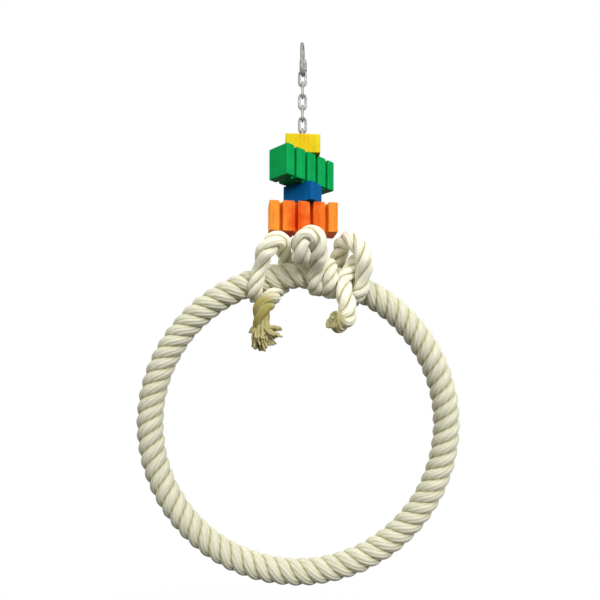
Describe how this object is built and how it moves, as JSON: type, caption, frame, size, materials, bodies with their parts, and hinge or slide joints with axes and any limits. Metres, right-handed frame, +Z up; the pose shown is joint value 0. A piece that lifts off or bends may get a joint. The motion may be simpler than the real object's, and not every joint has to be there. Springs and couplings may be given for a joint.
{
  "type": "rope ring bird swing",
  "caption": "Cotton rope hoop perch hung on a short steel chain through dyed wooden blocks, with a quick link at the top to hang it in a bird cage.",
  "frame": {"origin": "the point where the bar or hook bears on the inside of the quick link's top bend, straight above the chain", "axes": "+Z up along the hanging chain, +X to the right with the hoop seen from the front, +Y to the back, square to the hoop"},
  "size_m": [0.3048, 0.0815, 0.5127],
  "materials": {
    "plated_steel": "zinc plated wire",
    "plated_nut": "bright plated",
    "chain_steel": "zinc plated wire",
    "core_steel": "plain wire",
    "yellow_wood": "dyed, unvarnished",
    "green_wood": "dyed, unvarnished",
    "blue_wood": "dyed, unvarnished",
    "orange_wood": "dyed, unvarnished",
    "hoop_cotton": "three-strand laid cotton rope",
    "tie_cotton": "three-strand laid cotton rope"
  },
  "bodies": {
    "quick_link": {"quick_link": "plated_steel"},
    "nut": {"quick_link_nut": "plated_nut"},
    "chain_1": {"chain_link_01": "chain_steel"},
    "chain_2": {"chain_link_02": "chain_steel"},
    "chain_3": {"chain_link_03": "chain_steel"},
    "chain_4": {"chain_link_04": "chain_steel"},
    "chain_5": {"chain_link_05": "chain_steel"},
    "lower_chain": {"chain_link_06": "chain_steel", "chain_link_07": "chain_steel", "chain_link_08": "chain_steel", "chain_link_09": "chain_steel", "chain_link_10": "chain_steel", "chain_link_11": "chain_steel", "chain_link_12": "chain_steel", "chain_link_13": "chain_steel", "chain_link_14": "chain_steel"},
    "yellow": {"yellow_block": "yellow_wood"},
    "green": {"green_block": "green_wood"},
    "blue": {"blue_block": "blue_wood"},
    "orange": {"orange_block": "orange_wood"},
    "hoop": {"tie_ring": "plated_steel", "tie_rope_left": "tie_cotton", "tie_rope_right": "tie_cotton", "hoop_rope": "hoop_cotton", "hoop_core": "core_steel", "core_sleeve": "core_steel"}
  },
  "joints": [
    {"name": "nut_travel", "type": "slide", "parent": "quick_link", "child": "nut", "axis": [0, 0, 1], "range_m": [0, 0.006]},
    {"name": "chain_swing_1", "type": "hinge", "parent": "quick_link", "child": "chain_1", "pos_m": [0, 0, -0.0267], "axis": [0.1392, 0.9903, 0], "range_deg": [-25, 25]},
    {"name": "chain_swing_2", "type": "hinge", "parent": "chain_1", "child": "chain_2", "pos_m": [0, 0, -0.03747], "axis": [1, 0, 0], "range_deg": [-25, 25]},
    {"name": "chain_swing_3", "type": "hinge", "parent": "chain_2", "child": "chain_3", "pos_m": [0, 0, -0.04854], "axis": [0, 1, 0], "range_deg": [-25, 25]},
    {"name": "chain_swing_4", "type": "hinge", "parent": "chain_3", "child": "chain_4", "pos_m": [0, 0, -0.05961], "axis": [1, 0, 0], "range_deg": [-25, 25]},
    {"name": "chain_swing_5", "type": "hinge", "parent": "chain_4", "child": "chain_5", "pos_m": [0, 0, -0.07068], "axis": [0, 1, 0], "range_deg": [-25, 25]},
    {"name": "chain_swing_6", "type": "hinge", "parent": "chain_5", "child": "lower_chain", "pos_m": [0, 0, -0.08175], "axis": [1, 0, 0], "range_deg": [-25, 25]},
    {"name": "yellow_spin", "type": "hinge", "parent": "lower_chain", "child": "yellow", "pos_m": [0, 0, -0.09522], "axis": [0, 0, 1], "continuous": true},
    {"name": "green_spin", "type": "hinge", "parent": "lower_chain", "child": "green", "pos_m": [0, 0, -0.11827], "axis": [0, 0, 1], "continuous": true},
    {"name": "blue_spin", "type": "hinge", "parent": "lower_chain", "child": "blue", "pos_m": [0, 0, -0.14132], "axis": [0, 0, 1], "continuous": true},
    {"name": "orange_spin", "type": "hinge", "parent": "lower_chain", "child": "orange", "pos_m": [0, 0, -0.16437], "axis": [0, 0, 1], "continuous": true},
    {"name": "hoop_rock", "type": "hinge", "parent": "lower_chain", "child": "hoop", "pos_m": [0, 0, -0.17838], "axis": [1, 0, 0], "range_deg": [-5, 5]}
  ]
}
